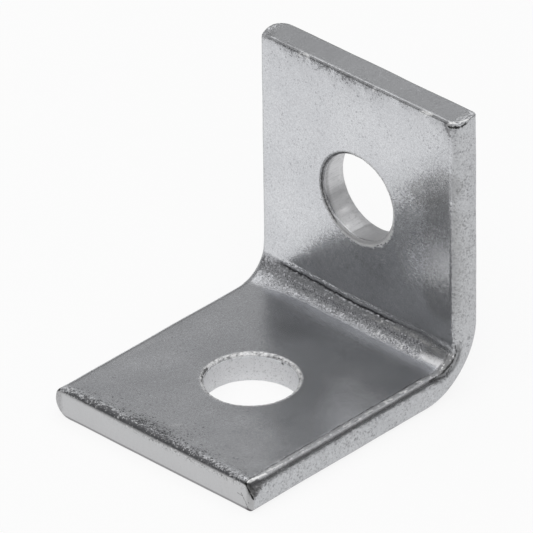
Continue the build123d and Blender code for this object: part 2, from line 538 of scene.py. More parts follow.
class Lie:
    """Where points lie on the bracket."""

    def __init__(self, points):
        self.points = points
        x, y, z = self.x, self.y, self.z = points.T
        beyond_y, beyond_z = np.maximum(y - ARC_Y, 0), np.maximum(ARC_Z - z, 0)
        # How deep under the inner face, and how much of a mark on that face still shows there
        self.under = np.hypot(beyond_y, beyond_z) - BEND_INNER
        self.face = fall(0.05, 0.5, self.under)
        # How far round the bend, from the end of the foot's flat
        turned = BEND_INNER * np.arctan2(beyond_y, np.maximum(beyond_z, 1e-9))
        self.bend = np.where(y < ARC_Y, y - ARC_Y, np.where(z > ARC_Z, ARC_LENGTH + z - ARC_Z, turned))
        self.foot = (y < ARC_Y) & (z < ARC_Z)
        self.upright = ~self.foot
        self.from_front = y - FRONT_END
        self.from_top = UPRIGHT_HEIGHT - z
        # How far outside the wall of the leg's own hole
        self.from_hole = np.where(self.foot, np.hypot(x, y - FOOT_HOLE), np.hypot(x, z - UPRIGHT_HOLE))
        self.from_hole -= HOLE_RADIUS

    def in_bore(self, reach):
        return (np.abs(self.x) < HOLE_BLOCK - 1) & (self.from_hole < reach)


def pressed_step(lie):
    """Lowers the start of the bend's hollow to the tighter curve that the press's nose left."""
    x, y, z = lie.x, lie.y, lie.z
    flat = ARC_Y + along_line(FLAT_TO, x)
    turn = STEP_END / BEND_INNER
    end_y, end_rise = ARC_Y + BEND_INNER * math.sin(turn), BEND_INNER * (1 - math.cos(turn))
    curve = ((end_y - flat) ** 2 + end_rise**2) / (2 * end_rise)

    def sunk(radius, reach):
        return radius - np.sqrt(np.maximum(radius**2 - reach**2, 0))

    plain = sunk(BEND_INNER, np.clip(y - ARC_Y, 0, BEND_INNER))
    drop = plain - sunk(curve, np.clip(y - flat, 0, end_y - flat))
    here = (y > ARC_Y) & (y < end_y) & (z < ARC_Z)
    lowered = lie.points.copy()
    lowered[:, 2] -= np.where(here, drop * fall(0.05, 0.6, lie.under), 0)
    return lowered


def bend_marks(lie):
    """The press's marks: the crease, the pitted band before it, its lip, the smooth right end, and painted
    highlights and shadow.
    """
    x, bend, under, face = lie.x, lie.bend, lie.under, lie.face
    from_line = bend - along_line(CREASE_LINE, x)
    from_flat = bend - along_line(FLAT_TO, x)
    smooth_end = rise(13.5, 15.5, x)
    rough = face * (1 - 0.8 * smooth_end)
    open_wide = rise(-17.5, -14, x) * (1 - 0.55 * rise(5, 11, x))
    pitted = rough * rise(-0.2, 0.9, from_flat) * fall(-1.6, -0.6, from_line)
    # Where a highlight is painted on the bend's smooth right end
    end_highlight = face * smooth_end * rise(1.5 - 0.5 * rise(18, 19.5, x), 1.9, bend)
    grip = face * rise(2, 6, x) * fall(13, 16, x)
    lip = face * rise(-17, -13, x) * (1 - 0.8 * rise(2, 9, x))
    # Where shadow is painted in the fold at the bend's right end, which the relief also digs in
    shaded_fold = hump(0.5, 0.14, under) + 0.7 * hump(0.95, 0.12, under)
    fold_ends = rise(-2.5, 0.5, bend) * fall(5.0, 6.5, bend)
    return {
        "shaded_crease": np.where((under < 0.6) & (np.abs(from_line) < 3), from_line, FAR_OFF),
        "crease_open": open_wide * (1 - 0.5 * rise(18, 20, x)),
        "pitted": pitted * (0.45 + 0.55 * rise(-19, -14.5, x)),
        "between": rough * rise(-2.0, -1.0, from_line) * fall(0.3, 0.8, from_line),
        "end_highlight": end_highlight * fall(2.7, 3.2 + 0.6 * rise(18, 20, x), bend),
        "grip": grip * rise(1.2, 1.6, bend) * fall(2.6, 3.0, bend),
        "lit_ridge": face * rise(1, 6, x) * fall(17, 19, x) * hump(-0.75, 0.28, from_line),
        "lip": lip * hump(0.72, 0.25, from_line),
        "shaded_fold": shaded_fold * fold_ends * rise(19.3, 19.7, x),
    }


def end_marks(lie):
    """The shear's marks: torn and scuffed edges at the foot's front and the upright's top, and burrs."""
    x, under, from_front, from_top = lie.x, lie.under, lie.from_front, lie.from_top
    length, depth = FOOT_ROLL
    front_torn = fall(0.8 * length, 1.5 * length, from_front) * fall(depth, 1.6 * depth, under)
    front_torn *= lie.foot * fall(15.5, 18, x)
    below_roll = rise(0.75 * depth, 1.1 * depth, under)
    reach = 0.6 * from_front + 0.8 * (depth - np.minimum(under, depth))
    front_scuff = along_line(FOOT_SCUFF, x) * np.exp(-reach / 1.5)
    front_scuff *= fall(depth + 0.05, depth + 0.2, under)
    under_roll = np.exp(-np.maximum(under - depth, 0) / 0.4) * (under > depth) * (from_front < 0.3)
    front_scuff += 0.5 * hump(-3, 7, x) * under_roll
    length, depth = UPRIGHT_ROLL
    top_torn = fall(0.5 * length, 1.1 * length, from_top) * fall(depth, 1.8 * depth, under)
    reach = np.maximum(from_top - 0.5, 0) + 1.2 * under
    top_scuff = along_line(TOP_SCUFF, x) * np.exp(-reach / 1.5) * fall(0.5, 0.7, under)
    front, top = fall(0.15, 0.3, from_front), fall(0.15, 0.3, from_top)
    length, depth = TOP_FALL
    return {
        "torn_edge": np.maximum(front_torn, 0.4 * top_torn * lie.upright),
        "scuff": np.maximum(front_scuff * lie.foot, top_scuff * lie.upright),
        "burr": sum(hump(burr, 0.3, x) for burr in BURRS) * hump(0.45, 0.3, from_top) * (under < 0.8),
        "front_line": lie.foot * (from_front < 0.6) * hump(0.5, 0.2, under) * along_line(FOOT_SCUFF, x),
        "sheared_end": np.maximum(front * below_roll, top),
        "fall": np.where(lie.z > ARC_Z, lie.face, 0) * depth * np.clip(1 - from_top / length, 0, 1) ** 2,
    }


def hole_marks(lie):
    """The punch's marks on the holes' walls and rims, and where shade, shadow and glints are painted on the
    upright's hole. Around the upright's hole they go by an angle.
    """
    under, from_hole, upright = lie.under, lie.from_hole, lie.upright
    in_bore = lie.in_bore(HOLE_ENTRY_ROLL + 0.02)
    bore = in_bore * rise(0.5, 0.8, under)
    # Degrees from the upright's hole's right side over its top
    angle = np.degrees(np.arctan2(lie.z - UPRIGHT_HOLE, lie.x)) % 360
    left = rise(92, 108, angle) * fall(228, 240, angle)
    lower = rise(222, 250, angle) * fall(335, 352, angle)
    right = rise(256, 257.5, angle)
    split_width = 0.26 - 0.12 * rise(185, 235, angle)
    glint = hump(226, 4, angle) * hump(2.8, 1.4, under) + hump(246, 4, angle) * hump(0.9, 0.7, under)
    shade = 0.7 * hump(204, 9, angle) + right + 0.4 * rise(210, 218, angle) * (1 - right)
    near_hole = (under < 1.2) & (np.abs(lie.x) < HOLE_BLOCK) & (from_hole < 3)
    return {
        "bore": bore,
        "rim": fall(0.15, 0.6, np.abs(from_hole - 0.2)) * fall(0.3, 0.6, under),
        "from_hole": np.where(near_hole, from_hole, FAR_OFF),
        "shaded_rim_split": upright * left * hump(0.25, split_width, from_hole) * (under < 1.2),
        "low_rim": upright * lower * (under < 0.45),
        "glint": upright * bore * glint,
        "bore_shade": upright * in_bore * rise(0.15, 0.3, under) * shade,
    }


def side_marks(lie):
    """The mill's rolled sides, and the lit ridge along the foot's right edge, with painted shadow in the gap
    beside it and painted shade below it.
    """
    x, under, bend, face, foot = lie.x, lie.under, lie.bend, lie.face, lie.foot
    from_edge = x - EDGE_LINE
    side = rise(18.4, 19.0, np.abs(x)) * rise(0.0, 0.25, under)
    lit_ridge = hump(0, 0.22, from_edge) - 0.9 * hump(-0.45, 0.16, from_edge)
    lit_foot = face * hump(0, 0.35, from_edge) * (bend < 1) * rise(0.1, 0.5, lie.from_front)
    lit_bend = rise(18.3, 18.6, x) * fall(0.35, 0.55, under)
    lit_bend *= rise(0, 1, bend) * fall(4.0, 4.6, bend)
    return {
        "side": side * np.where(foot, rise(0.5, 1.2, under), 1),
        "edge_ridge": face * lit_ridge * (bend < 2.2) * rise(0.8, 2.0, lie.from_front),
        "lit_edge": np.maximum(lit_foot, lit_bend),
        "edge_gap_shadow": face * foot * hump(-0.42, 0.13, from_edge),
        "edge_shade": foot * rise(0.2, 0.45, from_edge) * fall(0.7, 1.1, under),
    }


def nick_marks(lie):
    """The nick's flat side, the rim round it, where shade is painted over its highlight, and its sharp left
    edge.
    """
    cut_off, from_edge = past_nick(lie.points)
    at_corner = norm(lie.points - NICKED_CORNER, axis=1) < NICK[2] + 0.2
    return {
        "nick": rise(0.0, 0.1, cut_off),
        "nick_rim_shade": hump(-0.12, 0.2, cut_off) * (lie.x < 19.3) * (lie.from_front < 1.2),
        "nick_edge": hump(-0.1, 0.2, from_edge) * at_corner * rise(0, 0.03, cut_off),
    }


def surface_marks(lie):
    """Every mark's values at the skin's points."""
    return bend_marks(lie) | end_marks(lie) | hole_marks(lie) | side_marks(lie) | nick_marks(lie)


def stretched_places(lie):
    """Places that run slower along the way in which each surface was worked, so that noise makes streaks."""
    x, y, z = lie.x, lie.y, lie.z
    worked_down = np.stack([x, y, z * 0.1], 1)
    worked_back = np.stack([x, y * 0.1, z], 1)
    places = np.stack([x, y * 0.3, z * 0.3], 1)
    in_bore = lie.in_bore(0.6)
    for here, worked in (
        (in_bore & lie.foot, worked_down),
        (in_bore & lie.upright, worked_back),
        (lie.from_front < 0.2, worked_down),
        (lie.from_top < 0.2, worked_back),
    ):
        places[here] = worked[here]
    return places


def in_scene(name, data):
    made = bpy.data.objects.new(name, data)
    bpy.context.scene.collection.objects.link(made)
    return made


def plain_bracket():
    """The skin as a closed mesh in metres, with its faces outwards, its map and its marks."""
    skin = bracket_skin()
    used = np.zeros(skin.count, bool)
    used[np.concatenate([np.array(face) for face in skin.faces])] = True
    renumbered = np.cumsum(used) - 1
    lie = Lie(skin.points()[used])
    worn = nicked(drooped(pressed_step(lie))) * MILLIMETRE
    mesh = bpy.data.meshes.new("bracket")
    mesh.from_pydata(worn.tolist(), [], [[int(renumbered[n]) for n in face] for face in skin.faces])
    places = np.array(skin.places)
    margin = 0.005
    places = margin + (1 - 2 * margin) * (places - places.min(0)) / np.ptp(places, axis=0).max()
    mesh.uv_layers.new(name="OFBake").data.foreach_set("uv", places.ravel())
    for name, values in surface_marks(lie).items():
        mesh.attributes.new(name, "FLOAT", "POINT").data.foreach_set("value", values.astype(np.float32))
    grain = mesh.attributes.new("grain", "FLOAT_VECTOR", "POINT")
    grain.data.foreach_set("vector", stretched_places(lie).astype(np.float32).ravel())
    outward = bmesh.new()
    outward.from_mesh(mesh)
    bmesh.ops.recalc_face_normals(outward, faces=outward.faces)
    outward.to_mesh(mesh)
    outward.free()
    mesh.shade_smooth()
    return in_scene("bracket", mesh)


# Node trees


def operator(operation, turned=False):
    """A Python operator on a wire and a number or another wire. turned puts the wire last."""

    def apply(self, other):
        return self.web.maths(operation, *((other, self) if turned else (self, other)))

    return apply


class Wire:
    """A node's socket that takes part in Python expressions."""

    __add__ = __radd__ = operator("ADD")
    __mul__ = __rmul__ = operator("MULTIPLY")
    __sub__ = operator("SUBTRACT")
    __rsub__ = operator("SUBTRACT", turned=True)
    __truediv__ = operator("DIVIDE")
    __rtruediv__ = operator("DIVIDE", turned=True)

    def __init__(self, web, socket):
        self.web = web
        self.socket = socket

    def __neg__(self):
        return self * -1.0

    def maths(self, operation, *others):
        return self.web.maths(operation, self, *others)


class Web:
    """A node tree, and the few ways in which its nodes are made."""

    def __init__(self, tree):
        self.tree = tree

    def node(self, kind, settings=None, *inputs, output=0, **named):
        """Makes a node, with its settings and then its sockets, and gives one of its outputs."""
        made = self.tree.nodes.new(kind)
        for name, value in (settings or {}).items():
            setattr(made, name, value)
        pairs = [(number, value) for number, value in enumerate(inputs) if value is not None]
        for name, value in pairs + [(name.replace("_", " "), value) for name, value in named.items()]:
            if isinstance(value, Wire):
                self.tree.links.new(value.socket, made.inputs[name])
            else:
                made.inputs[name].default_value = value
        return Wire(self, made.outputs[output]) if made.outputs else made

    def maths(self, operation, *inputs):
        return self.node("ShaderNodeMath", {"operation": operation}, *inputs)

    def vector(self, operation, *inputs, **named):
        return self.node("ShaderNodeVectorMath", {"operation": operation}, *inputs, **named)

    def noise(self, places, size, seed, detail=2.0):
        """Noise from about -1 to 1 whose lumps are about a size across, in millimetres."""
        sockets = {"Vector": places, "W": seed, "Scale": 1.0 / size, "Detail": detail}
        return (self.node("ShaderNodeTexNoise", {"noise_dimensions": "4D"}, **sockets) - 0.5) * 2.0

    def hump(self, value, width):
        """1 where the value is 0, falling to nothing within about twice a width."""
        share = value / width
        return (-(share * share)).maths("EXPONENT")

    def facets(self, places, size, steepness):
        """Height of a field of small flat facets that all tilt differently."""
        cells = {"settings": {"feature": "F1"}, "Vector": places, "Scale": 1 / size}
        middle = self.node("ShaderNodeTexVoronoi", **cells, output="Position")
        tilt = self.node("ShaderNodeTexVoronoi", **cells, output="Color")
        tilt = self.vector("SUBTRACT", tilt, (0.5, 0.5, 0.5))
        reach = self.vector("SUBTRACT", places, middle)
        return self.vector("DOT_PRODUCT", reach, tilt, output="Value") * steepness

    def line(self, places, start, finish):
        """Distance from a straight line between two points."""
        way = Vector(finish) - Vector(start)
        length = way.length
        way = tuple(way / length)
        reach = self.vector("SUBTRACT", places, start)
        along = self.vector("DOT_PRODUCT", reach, way, output="Value")
        nearest = self.vector("SCALE", way, Scale=along.maths("MAXIMUM", 0.0).maths("MINIMUM", length))
        return self.vector("DISTANCE", reach, nearest, output="Value")

    def step(self, value, low, high):
        """0 at low, rising smoothly to 1 at high, which may be the lower number."""
        smooth = {"interpolation_type": "SMOOTHSTEP"}
        return self.node("ShaderNodeMapRange", smooth, value, low, high, 0.0, 1.0)

    def colour(self, share, first, second):
        return self.node("ShaderNodeMix", {"data_type": "RGBA"}, share, *[None] * 5, first, second, output=2)


def blank_web(owner):
    """An empty node tree for a material or the world."""
    owner.use_nodes = True
    owner.node_tree.nodes.clear()
    return Web(owner.node_tree)


# Cracks, scratches and flakes, and lines and patches of painted shade, shadow and highlight: dark lines in
# the fold at the bend's right end and in the gap beside the foot's right edge, the nick's painted shading,
# dark patches on the upright and in the foot's hole, a shadow under the burr at the upright's top right
# corner, and bright lines on the burrs and along the foot's right and left edges. Each row: x y z of the
# start and of the end, the width, how bright and how strong. Places and widths are in millimetres.
FLAWS_AND_PAINTED_LIGHT = """
19.1 -24.35 1.5  20 -23.8 0.3  0.1 0.09 0.8
17.6 -24.35 2.6  19.1 -24.35 0.4  0.09 0.09 0.7
16.8 -24.35 2.3  17.9 -24.35 2.2  0.09 0.09 0.6
-6 19.35 17.5  9 19.35 12.6  0.07 0.09 0.25
-2 19.35 13.2  4 19.35 11  0.06 0.09 0.3
8 19.35 30.5  17 19.35 27.4  0.08 0.09 0.3
9.5 19.35 22  16 19.35 19.6  0.06 0.09 0.25
19.9 19.6 14  20.1 21.8 12.6  0.08 0.09 0.6
19.9 20.2 16.5  20.1 21.4 17.6  0.07 0.09 0.5
-2.8 24 18.6  -2.1 19.5 18.7  0.09 0.09 0.6
18.6 19.4 45.8  19.6 19.9 45.8  0.26 0.03 0.95
19.6 19.9 45.8  20.1 21.6 45.9  0.24 0.03 0.95
18.4 19.35 45.2  18.7 19.4 44.2  0.25 0.12 0.6
18.5 19.6 46.3  19.3 20.1 46.4  0.18 1 1
19.5 20.6 46.4  19.9 22.2 46.4  0.16 1 1
13.3 19.5 46.2  14.9 19.6 46.2  0.2 1 0.9
-10.8 19.6 46.2  -9.8 19.6 46.2  0.16 1 0.9
13 19.35 32  18.2 19.35 35.5  2.6 0.3 0.42
17 19.35 30  16.6 19.35 15  3.6 0.32 0.4
5.4 0.85 3.5  5.9 0 1  1.6 0.35 0.4
19.7 19.6 7.1  19.2 19.4 9.8  0.1 0.06 0.8
18.45 -24.35 4.6  19 -24.36 3.9  0.16 0.03 1
19 -24.36 3.9  19.53 -24.32 3.05  0.16 0.03 1
19.53 -24.32 3.05  19.95 -24.15 2.45  0.14 0.03 1
19 -24.1 4.3  19.6 -23.8 3.3  0.35 0.14 0.9
19.7 -22.6 3.9  19.75 -23.4 3.4  0.25 0.22 0.8
18.75 -24 4.85  18.9 -23.1 4.95  0.26 0.9 1
18.9 -23.1 4.95  19 -21.7 4.95  0.2 0.9 0.9
-6.9 -6 4.85  -6.2 -7.6 4.85  0.22 0.06 0.8
-6.2 -7.6 4.85  -5 -9 4.85  0.18 0.06 0.7
18.9 -23.4 4.9  19.1 -20.7 4.9  0.2 0.85 0.9
18.9 -20.2 4.9  19.1 -17.5 4.9  0.14 0.7 0.8
18.95 -4 4.95  18.95 -2.5 4.95  0.12 0.7 0.8
18.95 1 4.95  18.95 2.2 4.95  0.14 0.7 0.8
18.75 5 4.95  19 6.4 4.95  0.16 0.75 0.9
18.75 8.2 4.95  19 9.6 4.95  0.14 0.75 0.9
18.6 12.2 5  18.9 12.9 4.95  0.12 0.8 0.9
18.35 -16 5  18.35 -9 5  0.07 0.05 0.7
18.35 -6 5  18.4 3 5  0.07 0.05 0.8
18.4 4 5  18.35 13.5 5  0.08 0.05 0.9
19.7 19.6 7.1  19.65 18.56 5.8  0.14 0.03 0.95
19.65 18.56 5.8  19.56 16.7 4.78  0.16 0.03 0.95
19.56 16.7 4.78  19.46 14 4.65  0.12 0.05 0.8
19.86 18.97 5.74  19.86 16.85 4.37  0.1 0.05 0.8
19.86 16.85 4.37  19.6 14 4.5  0.08 0.05 0.7
-1.69 19.35 18.91  -1.22 22.85 18.81  0.08 0.2 0.4
-19 -24.1 4.45  -13 -24.2 4.4  0.1 0.05 0.6
-19.75 -24.2 4.35  -19.45 -24.1 4.4  0.22 0.03 0.9
-19 -24.1 4.35  -18.6 -24.1 4.3  0.16 0.75 0.7
-18 -14 5  -18 -6 5  0.6 0.8 0.12
0 -21 5  1 -19.6 5  0.3 0.8 0.2
-7.4 19.35 22.6  -6.9 19.35 22.4  0.07 0.1 0.5
"""
# Painted shade of a black pit in the wall of the foot's hole
PIT_SHADE = ((-0.3, 3.38, 4.3), (-0.2, 3.38, 4.25))
PIT_SHADE_WIDTH = 0.2

# Heights and depths of the relief, and the sizes of its lumps, in millimetres
RELIEF = {
    "Waviness": 0.09, "Wave Size": 9.0, "Ripple": 0.006,
    "Ripple Size": 2.0, "Crease Depth": 0.2, "Crease Width": 0.2,
    "Lip Height": 0.08, "Burr Height": 0.16, "Pit Depth": 0.06,
    "Pit Size": 0.42, "Tear Depth": 0.06, "Streak Depth": 0.05,
    "Rim Roughness": 0.08, "Side Roughness": 0.012, "Ridge Height": 0.05,
    "Fold Depth": 0.12, "Split Depth": 0.12, "Nick Depth": 0.15,
}
RELIEF_SEED = 4.0
# The angle past which two faces meet in a sharp edge
SHARP_ANGLE = math.radians(38)


def relief_tree(finish):
    """Geometry nodes that press the marks into the skin, and keep it inside the CAD's box."""
    tree = bpy.data.node_groups.new("worked_surface", "GeometryNodeTree")
    sockets = {"Geometry": "Geometry", "Finish": "Material", "Lowest": "Vector", "Highest": "Vector"}
    sockets.update({name: "Float" for name in ("Seed", *RELIEF)})
    for name, kind in sockets.items():
        tree.interface.new_socket(name, in_out="INPUT", socket_type=f"NodeSocket{kind}")
    tree.interface.new_socket("Geometry", in_out="OUTPUT", socket_type="NodeSocketGeometry")
    web = Web(tree)
    given = tree.nodes.new("NodeGroupInput")
    size = {name: Wire(web, given.outputs[name]) for name in sockets}

    def mark(name, kind="FLOAT"):
        return web.node("GeometryNodeInputNamedAttribute", {"data_type": kind}, name)

    def lumps(places, across, number, detail=2.0):
        return web.noise(places, across, size["Seed"] + float(number), detail)

    place = web.node("GeometryNodeInputPosition")
    spot = web.vector("SCALE", place, Scale=1 / MILLIMETRE)
    grain = mark("grain", "FLOAT_VECTOR")
    flaws = lumps(spot, 0.9, 1)
    fine = lumps(spot, size["Pit Size"], 2)

    height = lumps(spot, size["Wave Size"], 3, 1.5) * size["Waviness"]
    height += lumps(spot, size["Ripple Size"], 4) * size["Ripple"]
    wander = mark("shaded_crease") + lumps(spot, 2.2, 5) * 0.25 + lumps(spot, 0.6, 6) * 0.2
    height -= web.hump(wander, size["Crease Width"]) * size["Crease Depth"] * mark("crease_open")
    height += mark("lip") * (flaws * 0.6 + 0.5) * size["Lip Height"]
    height += mark("burr") * (flaws * 0.5 + 0.8) * size["Burr Height"]
    pitted = web.step(mark("pitted") + flaws * 0.5, 0.25, 0.6) * mark("pitted")
    height += fine * size["Pit Depth"] * (pitted + mark("between") * 0.3)
    torn = mark("torn_edge") + mark("scuff") * 0.3
    height += (lumps(spot, 0.45, 7, 3.0) - 0.25) * size["Tear Depth"] * torn
    height += lumps(grain, 0.35, 8) * size["Streak Depth"] * (mark("bore") + mark("sheared_end") * 0.2)
    height += lumps(spot, 0.7, 9) * size["Rim Roughness"] * mark("rim")
    height += lumps(spot, 0.8, 10) * size["Side Roughness"] * mark("side")
    height += mark("edge_ridge") * size["Ridge Height"] * (lumps(spot, 0.6, 12) * 1.8 + 0.5)
    height -= mark("shaded_fold") * size["Fold Depth"]
    height -= mark("fall") * (lumps(spot, 3.0, 11) * 0.9 + 0.9)
    height -= mark("shaded_rim_split") * size["Split Depth"]
    height -= mark("nick_edge") * size["Nick Depth"]

    outward = web.node("GeometryNodeInputNormal")
    offset = web.vector("SCALE", outward, Scale=height * MILLIMETRE)
    moved = web.node("GeometryNodeSetPosition", None, size["Geometry"], Offset=offset)
    kept = web.vector("MINIMUM", web.vector("MAXIMUM", place, size["Lowest"]), size["Highest"])
    kept = web.node("GeometryNodeSetPosition", None, moved, Position=kept)
    whole = web.node("GeometryNodeRealizeInstances", None, kept)
    finished = web.node("GeometryNodeSetMaterial", None, whole, Material=size["Finish"])
    web.node("NodeGroupOutput", None, finished)
    return tree


def work_surface(bracket, finish):
    """Runs the relief tree on the bracket and keeps its result as a plain mesh."""
    modifier = bracket.modifiers.new("worked_surface", "NODES")
    modifier.node_group = relief_tree(finish)
    values = dict(RELIEF, Seed=RELIEF_SEED, Finish=finish, Lowest=list(cad_box[0]), Highest=list(cad_box[1]))
    for item in modifier.node_group.interface.items_tree:
        if item.in_out == "INPUT" and item.name in values:
            modifier[item.identifier] = values[item.name]
    seen = bracket.evaluated_get(bpy.context.evaluated_depsgraph_get())
    worked = bpy.data.meshes.new_from_object(seen)
    bracket.modifiers.remove(modifier)
    plain, bracket.data = bracket.data, worked
    bpy.data.meshes.remove(plain)
    worked.name = "bracket"
    worked.set_sharp_from_angle(angle=SHARP_ANGLE)


# Finish


def zinc_plate():
    """Satin zinc over rolled steel, dull where it was sheared, punched and creased, with painted shade,
    shadow and highlights.
    """
    material = bpy.data.materials.new("zinc_plate")
    web = blank_web(material)
    step = web.step

    def mark(name, output="Fac"):
        return web.node("ShaderNodeAttribute", {"attribute_name": name}, output=output)

    def coat(share, *colour):
        """Lays a colour over the tone so far. A single number stands for a plain grey."""
        nonlocal tone
        tone = web.colour(share, tone, (*(colour * 3)[:3], 1))

    place = web.node("ShaderNodeTexCoord", None, output="Object")
    spot = web.vector("SCALE", place, Scale=1 / MILLIMETRE)
    axis_across, axis_up = (web.node("ShaderNodeSeparateXYZ", None, spot, output=axis) for axis in "XZ")
    low_down = step(axis_up, 9.0, 5.5)
    high_up = 1.0 - low_down

    # Grains from a sixth of a millimetre to nine millimetres across
    fine = web.noise(spot, 0.17, 27.0, 1.0)
    speck = web.noise(spot, 0.3, 22.0)
    flake = web.noise(spot, 0.5, 23.0, 3.0)
    patch = web.noise(spot, 3.5, 26.0, 3.0)
    cloud = web.noise(spot, 9.0, 21.0, 3.0)
    streak = web.noise(mark("grain", "Vector"), 0.3, 24.0, 3.0)

    torn, bore, side, end, scuff = map(mark, ("torn_edge", "bore", "side", "sheared_end", "scuff"))
    between, lip, rim, split, lit_edge = map(mark, ("between", "lip", "rim", "shaded_rim_split", "lit_edge"))
    from_hole, low_rim, burr = map(mark, ("from_hole", "low_rim", "burr"))
    wander = mark("shaded_crease") + web.noise(spot, 2.2, 9.0) * 0.25 + web.noise(spot, 0.6, 10.0) * 0.2
    shaded_crease = web.hump(wander + web.noise(spot, 0.3, 11.0) * 0.28, 0.22) * mark("crease_open")
    pitted = step(mark("pitted") + web.noise(spot, 0.9, 5.0) * 0.6, 0.15, 0.7) * mark("pitted")

    # The rolled faces, clouded and speckled
    tone = web.colour(step(cloud, -0.5, 0.5), (0.665, 0.678, 0.702, 1), (0.755, 0.768, 0.79, 1))
    coat(step(fine + speck * 0.5, -0.5, 0.5) * (0.45 - low_down * 0.1), 0.36, 0.36, 0.38)
    coat(step(speck + patch * 0.35, 0.2, 0.55) * (0.5 - low_down * 0.2), 0.24, 0.24, 0.26)

    # The sides, with painted shade that is darkest round the bend
    side_shade = 0.30 + step(axis_up, 34.0, 20.0) * 0.14 - step(axis_up, 14.0, 8.0) * 0.16
    coat(side * side_shade, 0.47, 0.475, 0.48)
    coat(step(speck + patch * 0.4 + fine * 0.3, 0.0, 0.5) * side * 0.55, 0.17, 0.17, 0.18)

    # Torn edges, and the scuffs and soot beside them
    coat(torn * (0.2 + step(flake + speck, -0.3, 0.3) * 0.5), 0.13, 0.13, 0.135)
    coat(mark("front_line") * step(flake + patch * 0.5 + speck * 0.5, -0.4, 0.2) * 0.65, 0.05)
    coat(scuff * step(patch + cloud * 0.5, -0.5, 0.3) * 0.8, 0.2, 0.2, 0.21)
    soot = scuff * (1.3 + low_down * 0.9) + speck * 1.3 + fine + patch * 0.5
    coat(step(soot, 0.7, 1.3) * (0.6 + low_down * 0.3), 0.07, 0.07, 0.075)

    # The pitted band of the bend, with bright grains as painted sparkle and dark grains as painted shade in
    # its pits
    coat((pitted + between) * 0.5, 0.36, 0.36, 0.38)
    coat(step(fine + speck * 0.4, 0.1, 0.45) * (pitted * 0.75 + lip * 0.5), 0.92, 0.92, 0.94)
    coat(step(fine + speck * 0.4, -0.1, -0.4) * (pitted + between * 0.5) * 0.85, 0.1, 0.1, 0.105)

    # The sheared ends, dark where they stand on the ground, with a painted contact shadow along their bottom
    # and the sides', and chips along the foot's front painted with shade
    coat(end * low_down * 0.8, 0.52, 0.52, 0.525)
    coat(end * high_up * 0.5, 0.76, 0.77, 0.79)
    # Painted contact shadow along the bottom of the ends and the sides
    coat((end + side) * step(axis_up, 0.6, 0.4) * 0.6, 0.15, 0.14, 0.15)
    chips = speck + fine * 0.6 + flake * 0.3
    shaded_chips = end * web.hump(axis_up - 3.95, 0.45) * step(axis_across, -14.0, 4.0)
    # The chips' painted shade, then bright flakes on them and on the torn edges
    coat(shaded_chips * step(chips, 0.1, 0.35) * 0.8, 0.18)
    coat((shaded_chips + torn * 0.6) * step(chips, -0.25, -0.5) * 0.8, 0.8)

    # The bend's ridge with a painted highlight, the crease with painted shade, the grip marks, and the bright
    # smooth end with its painted highlight
    # A painted highlight along the ridge beside the crease
    coat(mark("lit_ridge") * step(fine + flake, -0.4, 0.3) * 0.8, 0.88, 0.87, 0.86)
    # Painted shade darkens the crease
    coat(shaded_crease * 0.95, 0.05, 0.05, 0.055)
    blobs = mark("grip") * step(flake + speck * 0.7 + fine * 0.4, 0.0, 0.35)
    # A painted highlight on the bend's smooth right end
    end_highlight = mark("end_highlight") * step(flake * 0.5 + speck * 0.5 + patch * 0.3, -0.5, 0.0)
    coat(blobs + end_highlight * 0.8, 0.8, 0.8, 0.81)
    # Painted shadow in the fold at the bend's right end
    coat(mark("shaded_fold") * 0.9, 0.06)

    # The nick with painted shade on its rim, and the painted shadow and shade beside the foot's right edge
    coat(mark("nick") * 0.7, 0.17, 0.165, 0.165)
    # Painted shade over the nick's rim, where its highlight would be
    coat(mark("nick_rim_shade") * 0.85, 0.12)
    # Painted shadow in the gap beside the lit ridge
    coat(mark("edge_gap_shadow") * step(flake + speck, -0.5, 0.1) * 0.85, 0.1)
    # Painted shade of the rounding below the lit ridge
    coat(mark("edge_shade") * step(flake + patch, -0.9, 0.2) * 0.7, 0.3, 0.3, 0.31)
    coat(mark("nick_edge") * 0.9, 0.05, 0.048, 0.048)

    # The holes: bright walls with drag lines, painted shade on the upright's wall and inside its lower rim,
    # and rims that are split and frayed, with painted shadow in the split
    coat(bore * (0.8 - low_down * 0.2), 0.9, 0.9, 0.91)
    coat(bore * step(speck + fine * 0.6, 0.1, 0.5) * (0.25 + low_down * 0.2), 0.3)
    coat(step(streak, -0.2, 0.5) * (bore * (0.3 + high_up) + end * 0.2) * 0.28, 0.36, 0.36, 0.37)
    coat(rim * 0.8, 0.62, 0.62, 0.63)
    coat(rim * low_down * step(flake + fine * 0.5, 0.15, -0.25) * 0.9, 0.98)
    coat(rim * step(flake + speck * 0.6, 0.0, 0.4) * (0.6 + low_down * 0.3), 0.2)
    # Painted shade over part of the upright's hole wall
    coat(mark("bore_shade") * 0.75, 0.36, 0.36, 0.37)
    past_rim = step(from_hole + speck * 0.1, 0.35, 0.5)
    frayed = low_rim * step(from_hole + flake * 0.7 + speck * 0.45, 0.95, 0.65) * past_rim
    # Painted shade inside the upright hole's lower rim, carrying on the wall's painted shade
    inner_rim_shade = low_rim * (1.0 - past_rim)
    coat(inner_rim_shade * 0.9, 0.36, 0.36, 0.365)
    coat(frayed * (0.65 + step(fine + speck, -0.4, 0.4) * 0.35), 0.55)
    # Painted shadow in the split beside the upright hole's left rim
    coat(split * step(flake + speck * 0.7, -0.9, 0.0) * 0.95, 0.05)

    # The lit edge, a painted highlight with bright and dark breaks, then painted glints, painted highlights
    # on the burrs and the painted shade of the pit in the foot's hole
    coat(lit_edge * 0.95, 0.25, 0.25, 0.255)
    coat(lit_edge * step(flake + streak * 0.7, 0.15, 0.3) * 0.9, 0.8, 0.8, 0.81)
    coat(lit_edge * step(streak + speck * 0.6, -0.1, -0.4) * 0.8, 0.12)
